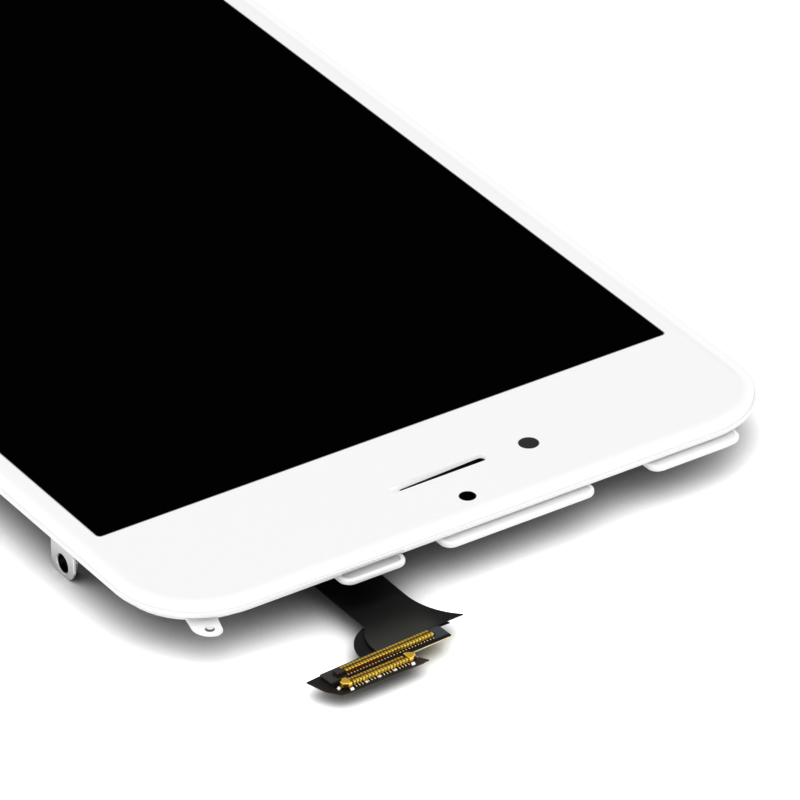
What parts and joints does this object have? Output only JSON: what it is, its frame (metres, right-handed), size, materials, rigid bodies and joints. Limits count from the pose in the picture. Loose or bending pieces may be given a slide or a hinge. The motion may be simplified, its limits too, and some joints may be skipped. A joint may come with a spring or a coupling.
{
  "type": "phone lcd screen assembly",
  "caption": "Slab phone screen: white bordered cover glass on a hooked frame with side ears, display and backlight behind it, and flexible circuits ending in gold contact connectors",
  "frame": {"origin": "the middle of the cover glass's front face", "axes": "+X across the screen, to the right of a viewer who faces it with the earpiece end up; +Y towards the earpiece end; +Z out of the screen. It rests screen up on the side ears."},
  "size_m": [0.065, 0.1477, 0.0047],
  "materials": {
    "clear_glass": "polished",
    "white_print": "gloss",
    "white_plastic": "satin moulded",
    "pale_adhesive": "matte",
    "clear_adhesive": "gloss",
    "sensor_glass": "polished",
    "polarizer_film": "gloss",
    "panel_glass": "polished",
    "chip_silicon": "satin",
    "pale_film": "satin",
    "guide_plastic": "polished",
    "reflector_film": "gloss",
    "tray_steel": "satin",
    "bracket_steel": "satin",
    "led_body": "satin",
    "circuit_film": "satin",
    "dark_plastic": "satin",
    "window_print": "satin",
    "gasket_foam": "matte",
    "stiffener_steel": "satin",
    "gold_plate": "polished plate",
    "solder": "satin"
  },
  "bodies": {
    "root": {"backlight_frame": "white_plastic", "backlight_tray": "tray_steel", "bezel_frame": "white_plastic", "border_print": "white_print", "camera_ring": "dark_plastic", "colour_filter": "panel_glass", "cover_glass": "clear_glass", "diffuser_film": "pale_film", "display_connector_contacts": "gold_plate", "display_connector_housing": "dark_plastic", "display_flex": "circuit_film", "display_solder_joints": "solder", "display_stiffener": "stiffener_steel", "driver_chip": "chip_silicon", "earpiece_gasket": "gasket_foam", "earpiece_mesh": "stiffener_steel", "frame_bond": "pale_adhesive", "front_polarizer": "polarizer_film", "hold_down_left": "gold_plate", "hold_down_right": "gold_plate", "led_01": "led_body", "led_02": "led_body", "led_03": "led_body", "led_04": "led_body", "led_05": "led_body", "led_06": "led_body", "led_07": "led_body", "led_08": "led_body", "led_09": "led_body", "led_10": "led_body", "led_strip": "circuit_film", "left_lower_bracket": "bracket_steel", "left_middle_bracket": "bracket_steel", "left_upper_bracket": "bracket_steel", "light_guide": "guide_plastic", "lower_prism_film": "pale_film", "optical_adhesive": "clear_adhesive", "rear_polarizer": "polarizer_film", "rear_tape": "dark_plastic", "reflector_film": "reflector_film", "right_lower_bracket": "bracket_steel", "right_middle_bracket": "bracket_steel", "right_upper_bracket": "bracket_steel", "sensor_ring": "dark_plastic", "sensor_window": "window_print", "tft_glass": "panel_glass", "touch_connector_contacts": "gold_plate", "touch_connector_housing": "dark_plastic", "touch_flex": "circuit_film", "touch_sensor": "sensor_glass", "touch_stiffener": "stiffener_steel", "upper_prism_film": "pale_film"}
  },
  "joints": []
}
